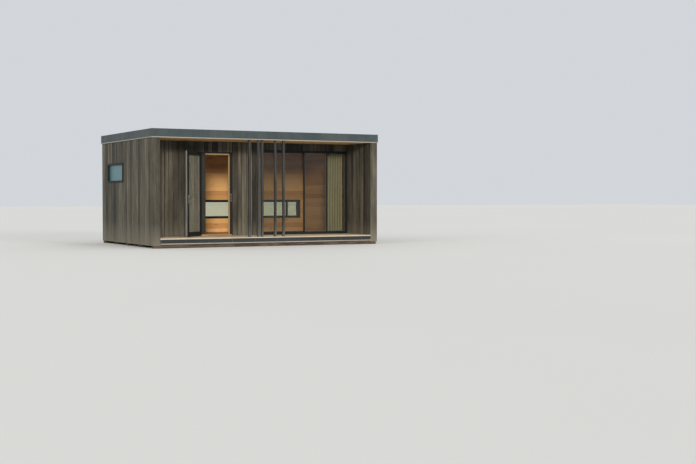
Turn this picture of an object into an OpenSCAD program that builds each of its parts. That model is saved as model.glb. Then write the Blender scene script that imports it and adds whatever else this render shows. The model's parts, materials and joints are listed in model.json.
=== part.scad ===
// Garden office cabin with a covered porch, black timber cladding and a flat roof.
// X runs along the front from left to right, Y runs from the front to the back, Z is up.
// The origin is at the middle of the footprint, on the ground.

/* [Cabin] */
// Width over the outer cladding of both side walls
cabin_w = 6000; // [5000:10:7200]
// Depth from the front of the side walls to the back cladding
cabin_d = 4000; // [3330:10:4800]
// Depth of the covered porch, from the front to the recessed wall
porch_d = 1270; // [1050:10:1530]
// Height from the deck to the underside of the roof edge
clear_h = 2350; // [2260:10:2820]
// Height of the deck above the ground
deck_h = 230; // [190:5:280]

/* [Walls] */
// Full thickness of each side wall
side_wall_t = 190; // [150:5:230]
// Full thickness of the rear wall
rear_wall_t = 170; // [140:5:210]
// Full thickness of the recessed front wall
front_wall_t = 150; // [130:5:180]
// Thickness of the vertical cladding boards
clad_t = 22; // [18:1:28]
// Thickness of the lining boards inside the room
lining_t = 22; // [12:1:28]
// Gap from the ground to the lower ends of the outer cladding
clad_gap = 60; // [30:5:65]

/* [Base and floor] */
// Width of each bearer on the ground
bearer_w = 95; // [75:5:120]
// Height of each bearer
bearer_h = 70; // [66:1:90]
// Number of bearers
bearer_n = 5; // [4:1:7]
// Width of the joists in the base and in the roof
joist_w = 45; // [38:1:60]
// Largest distance between joists
joist_pitch = 600; // [400:10:620]
// Height of the room's floor build-up above the joists
floor_t = 43; // [38:1:50]

/* [Deck] */
// Thickness of the deck boards
deck_board_t = 28; // [22:1:34]
// Height of the dark board along the front edge of the deck
edge_board_h = 120; // [80:1:124]
// Height of the pale ledge strip under the edge board
ledge_h = 21; // [14:1:22]
// How far the ledge strip stands out
ledge_out = 20; // [10:1:20]

/* [Roof] */
// Height of the blue-grey board round the roof
fascia_h = 190; // [176:1:230]
// Thickness of that board
fascia_t = 22; // [18:1:26]
// How far it stands out past the cladding
fascia_out = 15; // [8:1:16]
// Height of the pale drip strip under it
drip_h = 20; // [15:1:24]
// How far the drip strip stands out past the cladding
drip_out = 20; // [17:1:25]
// Height of the roof joists
roof_joist_h = 140; // [120:1:150]
// Thickness of the roof boards and their covering
roof_deck_t = 26; // [20:1:26]
// Fall of the covering from its middle to the front and back edges
roof_fall = 8; // [4:1:10]
// Thickness of the coping that turns in over the roof edge
coping_t = 6; // [3:1:8]
// Width of that coping
coping_w = 70; // [50:1:90]

/* [Entrance door] */
// Distance from the left face of the cabin to the door's rebate
door_x = 1638; // [1500:1:1800]
// Width of the rebate in the wall that the leaf closes into
door_w = 897; // [820:1:960]
// Height of the rebate above the deck
door_h = 2090; // [2000:1:2160]
// Running gap round the leaf
door_gap = 7; // [6:0.5:9]
// Thickness of the leaf
leaf_t = 50; // [44:1:56]
// Gap from the deck to the lower edge of the leaf
leaf_lift = 12; // [10:0.5:16]
// Width of the leaf's uprights and top rail
leaf_stile = 88; // [80:1:110]
// Height of the leaf's bottom rail
leaf_foot = 95; // [80:1:140]
// Width of the post on the hinge side
hinge_post_w = 197; // [60:1:210]
// Width of the post on the latch side
latch_post_w = 32; // [28:1:60]
// Height of the head piece between the posts
door_head_h = 30; // [25:1:50]
// Face width of the pale lining in the doorway
door_lining_t = 22; // [16:1:30]
// Height of the pale lining under the head piece
door_lining_head = 35; // [22:1:45]
// Height of the sill inside the leaf, above the deck
sill_h = 35; // [20:1:45]
// Angle that the leaf stands open
door_rest = 133; // [90:1:160]
// Height of the lever handle above the deck
lever_z = 955; // [900:1:1100]
// Distance from the lever down to the thumb turn
turn_drop = 92; // [70:1:120]
// Height of each hinge
hinge_h = 100; // [80:1:120]
// Radius of the hinge barrel
barrel_r = 8; // [7:0.5:10]
// Radius of the hinge pin
pin_r = 4; // [3:0.5:5]

/* [Sliding glass door] */
// Distance from the left face of the cabin to the frame
patio_x = 3338; // [3100:1:3500]
// Height of the frame above the deck
patio_h = 2170; // [2050:1:2220]
// Face width of the frame
patio_face = 32; // [28:1:45]
// Height of the sill above the deck
patio_sill = 40; // [30:1:60]
// Width of the uprights and rails of both panels
panel_stile = 30; // [28:1:44]
// Thickness of each panel
panel_t = 40; // [34:1:44]
// Space between the two panels
panel_space = 10; // [6:1:14]
// Overlap of the panels where they meet
panel_lap = 52; // [36:1:60]
// Width of the upright bar in the fixed panel
panel_bar_w = 50; // [30:1:60]
// Distance from the right edge of the fixed panel to the middle of that bar
panel_bar_x = 563; // [450:1:640]
// Running gap round the sliding panel
panel_gap = 5; // [5:0.5:8]
// How deep the panels stand in the channels of the frame
panel_bite = 14; // [12:1:18]
// Radius of the rollers under the sliding panel
roller_r = 14; // [10:1:18]
// How far the sliding panel opens
slide_travel = 1100; // [700:10:1100]

/* [Windows] */
// Thickness of every sealed glass unit
glass_t = 24; // [20:1:28]
// Distance from the side window to the back of the cabin
side_win_end = 530; // [420:1:640]
// Length of the side window
side_win_w = 1280; // [900:1:1350]
// Height of the side window
side_win_h = 481; // [400:1:560]
// Height from the deck to the lower edge of the side window
side_win_z = 1334; // [1100:1:1500]
// Distance from the left face of the cabin to the rear window
rear_win_x = 2600; // [2200:1:3200]
// Distance from the rear window to the right face of the cabin
rear_win_end = 310; // [260:1:600]
// Height of the rear window
rear_win_h = 507; // [400:1:600]
// Height from the deck to the lower edge of the rear window
rear_win_z = 381; // [300:1:600]
// Distance from the right face of the cabin to the middle of the rear window's bar
rear_bar_x = 680; // [600:1:900]
// Face width of the window frames
win_face = 43; // [36:1:55]
// Width of the bar in the rear window
win_bar = 48; // [36:1:60]
// Fall of the window sills towards the outside
sill_fall = 8; // [4:1:14]
// Size of the glazing beads round the windows' glass
win_bead = 14; // [10:1:20]

/* [Porch screen] */
// Width of each screen post
post_w = 45; // [38:1:70]
// Depth of each screen post
post_d = 70; // [60:1:95]
// Distances from the left face of the cabin to the posts' left sides
post_xs = [2443, 2673, 2780, 3128, 3350];
// Distance from the front of the deck to the posts
post_set = 15; // [8:1:60]

/* [Curtain] */
// Width of the drawn curtain
curtain_w = 480; // [400:5:700]
// Depth of its folds
curtain_d = 90; // [60:1:110]
// Gap from the curtain to the right side lining
curtain_end = 24; // [20:1:60]
// Distance from the front wall's lining to the curtain
curtain_set = 35; // [20:1:60]

/* [Hidden] */
$fn = 48;

// Main planes, measured from the origin
left = -cabin_w / 2;
right = cabin_w / 2;
front = -cabin_d / 2;
back = cabin_d / 2;
core_x = right - clad_t;
inner_x = right - side_wall_t;
core_front = front + clad_t;
core_back = back - clad_t;
recess = front + porch_d;
recess_core = recess + clad_t;
room_front = recess + front_wall_t;
room_back = back - rear_wall_t;
lining_front = room_front - lining_t;
lining_back = room_back + lining_t;
side_core_in = inner_x + clad_t;
side_room_core = inner_x + lining_t;

// Main heights
joist_top = deck_h - deck_board_t;
floor_z = joist_top + floor_t;
ceiling_z = deck_h + clear_h;
wall_top = ceiling_z + drip_h;
roof_top = wall_top + roof_joist_h;
through = 1;

// Door places
pocket_l = left + door_x;
pocket_r = pocket_l + door_w;
pocket_top = deck_h + door_h;
stop_y = recess + leaf_t + door_gap;
way_l = pocket_l + hinge_post_w;
way_r = pocket_r - latch_post_w;
way_top = pocket_top - door_head_h;
sill_top = deck_h + sill_h;
leaf_l = pocket_l + door_gap;
leaf_w = door_w - 2 * door_gap;
leaf_z = deck_h + leaf_lift;
leaf_h = door_h - leaf_lift - door_gap;
hinge_clear = 2;
pivot = [pocket_l + door_gap / 2, recess - hinge_clear - barrel_r];
hinge_plate_t = 3;
hinge_plate_w = 38;
hinge_bearing = 0.3;
hinge_play = 0.05;
knuckle_h = hinge_h * 0.38;
hinge_zs = [leaf_z + 240, leaf_z + leaf_h / 2, leaf_z + leaf_h - 240];
keep_h = 190;
keep_w = 22;
keep_t = 1;
spindle_in = 66;
plate_w = 30;
plate_l = 220;
plate_t = 7;
plate_up = 64;
neck_r = 8;
neck_out = 52;
lever_l = 120;
turn_out = 40;
turn_l = 44;
turn_r = 6;

// Sliding door places
patio_l = left + patio_x;
patio_top = deck_h + patio_h;
patio_front = recess + 8;
pane_l = patio_l + patio_face;
pane_r = inner_x - patio_face;
pane_z = deck_h + patio_sill;
pane_h = patio_h - patio_sill - patio_face;
fixed_y = patio_front + 10;
slide_y = fixed_y + panel_t + panel_space;
panel_w = (pane_r - pane_l + panel_lap) / 2;
bar_l = pane_r - panel_bar_x - panel_bar_w / 2;
slide_l = pane_l + panel_gap;
slide_w = panel_w - panel_gap;
roller_in = 150;
roller_w = 16;
roller_play = 0.3;
grip_w = 14;
grip_l = 320;
grip_out = 38;

// Window places
side_win_l = back - side_win_end - side_win_w;
side_win_b = deck_h + side_win_z;
rear_win_l = left + rear_win_x;
rear_win_w = cabin_w - rear_win_x - rear_win_end;
rear_win_b = deck_h + rear_win_z;
casing_in = 5;
rear_casing_out = 12;
side_casing_out = drip_out;
pane_set = 34;

// Curtain places
rail_w = 30;
rail_h = 22;
hang_play = 0.3;
curtain_r = inner_x - curtain_end;
curtain_y = room_front + curtain_set;
rail_y = curtain_y + curtain_d / 2 - rail_w / 2;

joist_play = 0.2;

function joist_count(length) = ceil((length - joist_w) / joist_pitch);

// A box between two corners
module block(low, high) {
    translate(low)
        cube(high - low);
}

// A rectangular ring seen from the front, with its sides along X and Z
module ring_xz(low, high, side, foot, head) {
    difference() {
        block(low, high);
        block([low.x + side, low.y - through, low.z + foot],
            [high.x - side, high.y + through, high.z - head]);
    }
}

// A rectangular ring seen from above
module ring_xy(x, y, inset, low_z, high_z) {
    difference() {
        block([-x, -y, low_z], [x, y, high_z]);
        block([-x + inset, -y + inset, low_z - through],
            [x - inset, y - inset, high_z + through]);
    }
}

// Two long rims with joists between them, front to back
module joist_frame(x, y, low_z, high_z) {
    n = joist_count(2 * x);
    pitch = (2 * x - joist_w) / n;
    reach = y - joist_w - joist_play;
    for (edge = [-y, y - joist_w])
        block([-x, edge, low_z], [x, edge + joist_w, high_z]);
    for (i = [0 : n])
        block([-x + i * pitch, -reach, low_z], [-x + i * pitch + joist_w, reach, high_z]);
}

module side_window_cut() {
    block([left - through, side_win_l, side_win_b],
        [-inner_x + through, side_win_l + side_win_w, side_win_b + side_win_h]);
}

module rear_window_cut() {
    block([rear_win_l, room_back - through, rear_win_b],
        [rear_win_l + rear_win_w, back + through, rear_win_b + rear_win_h]);
}

// Moves the closed leaf and what is on it to the open rest position
module door_swing() {
    translate([pivot.x, pivot.y, 0])
        rotate([0, 0, -door_rest])
            translate([-pivot.x, -pivot.y, 0])
                children();
}

module base_bearers() {
    span = 2 * (-core_front) - bearer_w;
    color("#5a4a38")
        for (i = [0 : bearer_n - 1])
            translate([-core_x, core_front + i * span / (bearer_n - 1), 0])
                cube([2 * core_x, bearer_w, bearer_h]);
}

module base_frame() {
    color("#6b5640")
        joist_frame(core_x, core_back, bearer_h, joist_top);
}

module floor_boards() {
    color("#b87434")
        block([-inner_x, room_front, joist_top], [inner_x, room_back, floor_z]);
}

module deck_boards() {
    color("#8c8378")
        block([-inner_x, core_front, joist_top], [inner_x, recess, deck_h]);
}

module deck_edge_board() {
    color("#33363a")
        block([-inner_x, front, deck_h - edge_board_h], [inner_x, core_front, deck_h]);
}

module deck_ledge() {
    ledge_top = deck_h - edge_board_h;
    color("#c9c6bd")
        block([-inner_x, front - ledge_out, ledge_top - ledge_h],
            [inner_x, core_front, ledge_top]);
}

module side_core() {
    block([-core_x, core_front, joist_top], [-side_core_in, core_back, wall_top]);
}

module left_wall() {
    color("#4b4338")
        difference() {
            side_core();
            side_window_cut();
        }
}

module right_wall() {
    color("#4b4338")
        mirror([1, 0, 0])
            side_core();
}

module rear_wall() {
    color("#4b4338")
        difference() {
            block([-side_core_in, lining_back, joist_top],
                [side_core_in, core_back, wall_top]);
            rear_window_cut();
        }
}

module front_wall_left() {
    color("#4b4338")
        block([-inner_x, recess_core, joist_top], [pocket_l, lining_front, wall_top]);
}

module front_wall_mid() {
    color("#4b4338")
        block([pocket_r, recess_core, joist_top], [patio_l, lining_front, wall_top]);
}

module front_wall_head() {
    color("#4b4338") {
        block([pocket_l, recess_core, pocket_top], [pocket_r, lining_front, wall_top]);
        block([patio_l, recess_core, patio_top], [inner_x, lining_front, wall_top]);
    }
}

module side_cladding() {
    block([left, core_front, clad_gap], [-core_x, core_back, wall_top]);
}

module left_cladding() {
    color("#34332f")
        difference() {
            side_cladding();
            side_window_cut();
        }
}

module right_cladding() {
    color("#34332f")
        mirror([1, 0, 0])
            side_cladding();
}

module rear_cladding() {
    color("#34332f")
        difference() {
            block([left, core_back, clad_gap], [right, back, wall_top]);
            rear_window_cut();
        }
}

module front_cladding() {
    foot_gap = 5;
    color("#34332f")
        difference() {
            block([-inner_x, recess, deck_h + foot_gap],
                [inner_x, recess_core, wall_top]);
            block([pocket_l, recess - through, 0],
                [pocket_r, recess_core + through, pocket_top]);
            block([patio_l, recess - through, 0],
                [inner_x + through, recess_core + through, patio_top]);
        }
}

module fin_cladding() {
    color("#34332f")
        for (side = [0, 1])
            mirror([side, 0, 0])
                block([inner_x, core_front, joist_top],
                    [side_core_in, lining_front, wall_top]);
}

module fin_caps() {
    color("#2f3236")
        for (side = [0, 1])
            mirror([side, 0, 0])
                block([inner_x, front, clad_gap], [right, core_front, wall_top]);
}

module side_linings() {
    color("#c98a48")
        difference() {
            for (side = [0, 1])
                mirror([side, 0, 0])
                    block([inner_x, lining_front, joist_top],
                        [side_room_core, lining_back, wall_top]);
            side_window_cut();
        }
}

module end_linings() {
    color("#c98a48") {
        difference() {
            block([-inner_x, lining_front, joist_top], [inner_x, room_front, wall_top]);
            block([way_l, lining_front - through, 0],
                [way_r, room_front + through, way_top]);
            block([patio_l, lining_front - through, 0],
                [inner_x + through, room_front + through, patio_top]);
        }
        difference() {
            block([-inner_x, room_back, joist_top], [inner_x, lining_back, wall_top]);
            rear_window_cut();
        }
    }
}

module ceiling_boards() {
    color("#c98a48")
        block([-inner_x, room_front, ceiling_z], [inner_x, room_back, wall_top]);
}

module soffit_boards() {
    color("#b06a2c")
        block([-inner_x, front, ceiling_z], [inner_x, recess, wall_top]);
}

module roof_frame() {
    color("#8d6f4d")
        joist_frame(right + fascia_out - fascia_t, back + fascia_out - fascia_t,
            wall_top, roof_top);
}

// The covering falls a little from a low ridge to the front and the back
module roof_deck() {
    x = right + fascia_out - fascia_t;
    y = back + fascia_out - fascia_t;
    color("#3a3d40")
        translate([-x, 0, roof_top])
            rotate([90, 0, 90])
                linear_extrude(2 * x)
                    polygon([[-y, 0], [y, 0], [y, roof_deck_t], [0, roof_deck_t + roof_fall],
                        [-y, roof_deck_t]]);
}

// Upright board with a coping that turns in over the edge of the covering
module roof_fascia() {
    color("#566069")
        union() {
            ring_xy(right + fascia_out, back + fascia_out, fascia_t,
                wall_top, wall_top + fascia_h);
            ring_xy(right + fascia_out, back + fascia_out, coping_w,
                wall_top + fascia_h - coping_t, wall_top + fascia_h);
        }
}

module drip_trim() {
    color("#b9b6ac")
        ring_xy(right + drip_out, back + drip_out, drip_out, ceiling_z, wall_top);
}

// Hinge post, latch post and head piece behind the closed leaf
module door_frame() {
    color("#26282a")
        difference() {
            block([pocket_l, stop_y, sill_top], [pocket_r, lining_front, pocket_top]);
            block([way_l, stop_y - through, sill_top - through],
                [way_r, lining_front + through, way_top]);
        }
}

module door_lining() {
    set_back = 58;
    reveal_in = 5;
    color("#d9bd8c")
        difference() {
            block([way_l, stop_y + set_back, sill_top],
                [way_r, room_front + reveal_in, way_top]);
            block([way_l + door_lining_t, stop_y - through, sill_top - through],
                [way_r - door_lining_t, room_front + 2 * reveal_in,
                    way_top - door_lining_head]);
        }
}

// Sill with a low sloping nose under the leaf and a raised part behind it
module door_sill() {
    nose_z = deck_h + leaf_lift - 8;
    slope = 3;
    color("#9a6a3c") {
        translate([pocket_l, 0, 0])
            rotate([90, 0, 90])
                linear_extrude(door_w)
                    polygon([[recess, joist_top], [lining_front, joist_top],
                        [lining_front, sill_top], [stop_y, sill_top],
                        [stop_y, nose_z], [recess, nose_z - slope]]);
        block([way_l, lining_front - through, joist_top], [way_r, room_front, sill_top]);
    }
}

// Fixed half of each hinge with its pin, and the latch keep on the post
module door_fixings() {
    plate_z = (hinge_h - knuckle_h) / 2 - hinge_bearing;
    color("#a9abab") {
        for (z = hinge_zs)
            translate([pivot.x, pivot.y, z - hinge_h / 2]) {
                cylinder(h = hinge_h, r = pin_r);
                cylinder(h = plate_z, r = barrel_r);
                translate([0, 0, hinge_h - plate_z])
                    cylinder(h = plate_z, r = barrel_r);
                for (up = [0, hinge_h - plate_z])
                    translate([-hinge_plate_w, recess - pivot.y - hinge_plate_t, up])
                        cube([hinge_plate_w, hinge_plate_t, plate_z]);
            }
        translate([way_r + (latch_post_w - keep_w) / 2, stop_y - keep_t,
            deck_h + lever_z - keep_h / 2])
            cube([keep_w, keep_t, keep_h]);
    }
}

module door_leaf() {
    bead = 10;
    color("#2b2e2e")
        door_swing() {
            ring_xz([leaf_l, recess, leaf_z], [leaf_l + leaf_w, recess + leaf_t, leaf_z + leaf_h],
                leaf_stile, leaf_foot, leaf_stile);
            for (y = [recess + 3, recess + leaf_t - 3 - bead])
                ring_xz([leaf_l + leaf_stile - through, y, leaf_z + leaf_foot - through],
                    [leaf_l + leaf_w - leaf_stile + through, y + bead,
                        leaf_z + leaf_h - leaf_stile + through], bead, bead, bead);
        }
}

module door_glass() {
    color("#8fa09a", 0.5)
        door_swing()
            block([leaf_l + leaf_stile, recess + (leaf_t - glass_t) / 2, leaf_z + leaf_foot],
                [leaf_l + leaf_w - leaf_stile, recess + (leaf_t + glass_t) / 2,
                    leaf_z + leaf_h - leaf_stile]);
}

// Moving half of each hinge, bored to turn on the pin
module door_hinges() {
    color("#a9abab")
        door_swing()
            for (z = hinge_zs)
                translate([pivot.x, pivot.y, z - knuckle_h / 2])
                    difference() {
                        union() {
                            cylinder(h = knuckle_h, r = barrel_r);
                            translate([0, recess - pivot.y - hinge_plate_t, 0])
                                cube([hinge_plate_w, hinge_plate_t, knuckle_h]);
                        }
                        translate([0, 0, -through])
                            cylinder(h = knuckle_h + 2 * through, r = pin_r + hinge_play);
                    }
}

// A neck that stands out of the plate, with a round bar back towards the hinges
module lever(out, bar_l, r) {
    rotate([90, 0, 0])
        cylinder(h = out, r = r);
    translate([0, -out, 0])
        sphere(r = r);
    translate([0, -out, 0])
        rotate([0, -90, 0])
            cylinder(h = bar_l, r = r);
}

// Long round-ended plate with the lever near its top
module lever_plate() {
    reach = plate_l / 2 - plate_w / 2;
    translate([0, 0, plate_up - plate_l / 2])
        rotate([90, 0, 0])
            linear_extrude(plate_t) {
                square([plate_w, 2 * reach], center = true);
                for (end = [-reach, reach])
                    translate([0, end])
                        circle(d = plate_w);
            }
    lever(neck_out, lever_l, neck_r);
}

module door_handle() {
    x = leaf_l + leaf_w - spindle_in;
    z = deck_h + lever_z;
    color("#b4b6b6")
        door_swing() {
            translate([x, recess, z])
                lever_plate();
            translate([x, recess + leaf_t, z])
                mirror([0, 1, 0]) {
                    lever_plate();
                    translate([0, 0, -turn_drop])
                        lever(turn_out, turn_l, turn_r);
                }
        }
}

// Frame with a closed channel for the fixed panel and an open one for the sliding panel
module patio_frame() {
    lip = patio_face + panel_bite;
    pane_top = pane_z + pane_h;
    color("#25272a")
        difference() {
            ring_xz([patio_l, patio_front, joist_top], [inner_x, room_front, patio_top],
                lip, pane_z + panel_bite - joist_top, lip);
            block([pane_r - panel_w, fixed_y, pane_z], [pane_r, fixed_y + panel_t, pane_top]);
            block([pane_l, slide_y - panel_gap, pane_z],
                [pane_r, slide_y + panel_t + panel_gap, pane_top]);
        }
}

module glazed_panel(x, y, z, w, h) {
    ring_xz([x, y, z], [x + w, y + panel_t, z + h], panel_stile, panel_stile, panel_stile);
}

module panel_glass(x, y, z, w, h) {
    block([x + panel_stile, y + (panel_t - glass_t) / 2, z + panel_stile],
        [x + w - panel_stile, y + (panel_t + glass_t) / 2, z + h - panel_stile]);
}

// The fixed panel holds two glass units with an upright bar between them
module fixed_panel() {
    color("#2a2c2f") {
        glazed_panel(pane_r - panel_w, fixed_y, pane_z, panel_w, pane_h);
        block([bar_l, fixed_y, pane_z + panel_stile - through],
            [bar_l + panel_bar_w, fixed_y + panel_t, pane_z + pane_h - panel_stile + through]);
    }
}

module fixed_glass() {
    color("#8fa3ad", 0.5)
        difference() {
            panel_glass(pane_r - panel_w, fixed_y, pane_z, panel_w, pane_h);
            block([bar_l, fixed_y, pane_z], [bar_l + panel_bar_w, fixed_y + panel_t, pane_z + pane_h]);
        }
}

// The panel stands on two rollers that run along the floor of its channel
module sliding_panel() {
    color("#2a2c2f") {
        glazed_panel(slide_l, slide_y, pane_z + panel_gap, slide_w, pane_h - 2 * panel_gap);
        for (x = [slide_l + roller_in, slide_l + slide_w - roller_in])
            translate([x, slide_y + (panel_t + roller_w) / 2, pane_z + roller_play + roller_r])
                rotate([90, 0, 0])
                    cylinder(h = roller_w, r = roller_r);
    }
}

module sliding_glass() {
    color("#8fa3ad", 0.5)
        panel_glass(slide_l, slide_y, pane_z + panel_gap, slide_w, pane_h - 2 * panel_gap);
}

module slider_handle() {
    x = slide_l + panel_stile - grip_w;
    z = deck_h + lever_z - grip_l / 2;
    color("#a9abab") {
        block([x, slide_y - grip_out, z], [x + grip_w, slide_y - grip_out + grip_w, z + grip_l]);
        for (up = [30, grip_l - 30 - grip_w])
            block([x, slide_y - grip_out + grip_w / 2, z + up], [x + grip_w, slide_y, z + up + grip_w]);
    }
}

// Frame seen from outside with its corner at the origin: sloping sill, beads behind the glass
module window_frame(w, h, out, depth) {
    bead_y = pane_set + glass_t;
    difference() {
        ring_xz([0, -out, 0], [w, depth, h], win_face, win_face, win_face);
        translate([win_face, 0, 0])
            rotate([90, 0, 90])
                linear_extrude(w - 2 * win_face)
                    polygon([[pane_set, win_face], [-out - through, win_face - sill_fall],
                        [-out - through, win_face + through], [pane_set, win_face + through]]);
    }
    ring_xz([win_face - through, bead_y, win_face - through],
        [w - win_face + through, bead_y + win_bead, h - win_face + through],
        win_bead + through, win_bead + through, win_bead + through);
}

module side_window_frame() {
    color("#2c2f31")
        translate([left, side_win_l + side_win_w, side_win_b])
            rotate([0, 0, -90])
                window_frame(side_win_w, side_win_h, side_casing_out, side_wall_t + casing_in);
}

module side_window_glass() {
    color("#a4b3b8", 0.7)
        block([left + pane_set, side_win_l + win_face, side_win_b + win_face],
            [left + pane_set + glass_t, side_win_l + side_win_w - win_face,
                side_win_b + side_win_h - win_face]);
}

module rear_window_frame() {
    bar = right - rear_bar_x - win_bar / 2;
    bar_in = back - pane_set - glass_t - win_bead;
    color("#2c2f31") {
        translate([rear_win_l + rear_win_w, back, rear_win_b])
            rotate([0, 0, 180])
                window_frame(rear_win_w, rear_win_h, rear_casing_out, rear_wall_t + casing_in);
        block([bar, bar_in, rear_win_b + win_face / 2],
            [bar + win_bar, back - pane_set + win_bead, rear_win_b + rear_win_h - win_face / 2]);
    }
}

module rear_window_glass() {
    bar = right - rear_bar_x - win_bar / 2;
    top = rear_win_b + rear_win_h - win_face;
    color("#a4b3b8", 0.5) {
        block([rear_win_l + win_face, back - pane_set - glass_t, rear_win_b + win_face],
            [bar, back - pane_set, top]);
        block([bar + win_bar, back - pane_set - glass_t, rear_win_b + win_face],
            [rear_win_l + rear_win_w - win_face, back - pane_set, top]);
    }
}

module screen_posts() {
    color("#3b4045")
        for (x = post_xs)
            block([left + x, front + post_set, deck_h],
                [left + x + post_w, front + post_set + post_d, ceiling_z]);
}

module curtain() {
    color("#7c7b62")
        block([curtain_r - curtain_w, curtain_y, floor_z + 12],
            [curtain_r, curtain_y + curtain_d, ceiling_z - rail_h - hang_play]);
}

module curtain_rail() {
    color("#d8d6d0")
        block([patio_l, rail_y, ceiling_z - rail_h],
            [inner_x - 10, rail_y + rail_w, ceiling_z]);
}

base_bearers();
base_frame();
floor_boards();
deck_boards();
deck_edge_board();
deck_ledge();
left_wall();
right_wall();
rear_wall();
front_wall_left();
front_wall_mid();
front_wall_head();
left_cladding();
right_cladding();
rear_cladding();
front_cladding();
fin_cladding();
fin_caps();
side_linings();
end_linings();
ceiling_boards();
soffit_boards();
roof_frame();
roof_deck();
roof_fascia();
drip_trim();
door_frame();
door_lining();
door_sill();
door_fixings();
door_leaf();
door_glass();
door_hinges();
door_handle();
patio_frame();
fixed_panel();
fixed_glass();
sliding_panel();
sliding_glass();
slider_handle();
side_window_frame();
side_window_glass();
rear_window_frame();
rear_window_glass();
screen_posts();
curtain();
curtain_rail();
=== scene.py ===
"""Garden office cabin: boards, fixings, seals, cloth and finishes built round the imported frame."""
import json
import math
import random
from collections import namedtuple

import bmesh
import bpy
from mathutils import Matrix, Vector


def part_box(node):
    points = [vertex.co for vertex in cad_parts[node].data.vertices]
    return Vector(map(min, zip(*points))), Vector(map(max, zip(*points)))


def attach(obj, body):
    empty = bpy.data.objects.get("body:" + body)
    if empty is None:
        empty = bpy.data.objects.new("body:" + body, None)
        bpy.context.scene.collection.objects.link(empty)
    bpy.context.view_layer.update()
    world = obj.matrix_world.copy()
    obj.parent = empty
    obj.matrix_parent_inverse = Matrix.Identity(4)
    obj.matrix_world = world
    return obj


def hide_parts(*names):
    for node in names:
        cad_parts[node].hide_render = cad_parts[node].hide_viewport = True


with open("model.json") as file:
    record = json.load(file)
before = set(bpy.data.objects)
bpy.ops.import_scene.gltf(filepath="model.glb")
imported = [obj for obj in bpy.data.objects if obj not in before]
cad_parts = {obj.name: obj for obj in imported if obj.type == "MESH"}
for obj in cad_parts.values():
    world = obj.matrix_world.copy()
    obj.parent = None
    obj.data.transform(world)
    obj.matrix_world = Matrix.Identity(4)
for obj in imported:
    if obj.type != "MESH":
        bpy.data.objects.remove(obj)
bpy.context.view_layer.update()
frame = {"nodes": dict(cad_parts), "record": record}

scene = bpy.context.scene

X, Y, Z = Vector((1, 0, 0)), Vector((0, 1, 0)), Vector((0, 0, 1))
CABIN, LEAF, SLIDER = "cabin", "entrance_door", "sliding_door"


def placed(name, data):
    data.name = name
    made = bpy.data.objects.new(name, data)
    scene.collection.objects.link(made)
    return made


def aimed(direction):
    return Vector(direction).to_track_quat("-Z", "Y").to_euler()


# Camera at the photograph's place, 1.2 m above the ground

LENS_PIXELS, FRAME_PIXELS, SENSOR = 1150, 696, 36
camera_data = bpy.data.cameras.new("camera")
camera_data.sensor_fit = "HORIZONTAL"
camera_data.sensor_width = SENSOR
camera_data.lens = LENS_PIXELS / FRAME_PIXELS * SENSOR
camera_data.clip_end = 400
camera = placed("camera", camera_data)
camera.location = (-11.749, -27.546, 1.1975)
camera.rotation_euler = aimed((0.478, 0.8784, -0.03043))
scene.camera = camera


# Short ways to write node trees

class Nodes:
    """A node tree being written. In node(), small letters name settings, and capitals or _numbers inputs."""

    def node(self, kind, **values):
        made = self.tree.nodes.new(kind if "Node" in kind else "ShaderNode" + kind)
        for key, value in values.items():
            if key[0].islower():
                setattr(made, key, value)
            else:
                self.feed(made, int(key[1:]) if key[0] == "_" else key.replace("_", " "), value)
        return made

    def feed(self, made, key, value):
        """Links an input to a node or one of its outputs, or gives it a plain value."""
        if isinstance(value, bpy.types.Node):
            value = value.outputs[0]
        if isinstance(value, bpy.types.NodeSocket):
            self.tree.links.new(value, made.inputs[key])
        else:
            made.inputs[key].default_value = value

    def math(self, operation, a, b=0.5, clamp=False):
        return self.node("Math", operation=operation, use_clamp=clamp, _0=a, _1=b)

    def weighed(self, *shares):
        """The sum of some values, each times its weight."""
        total, *rest = (self.math("MULTIPLY", *share) for share in shares)
        for part in rest:
            total = self.math("ADD", total, part)
        return total


finishes = {}


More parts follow.
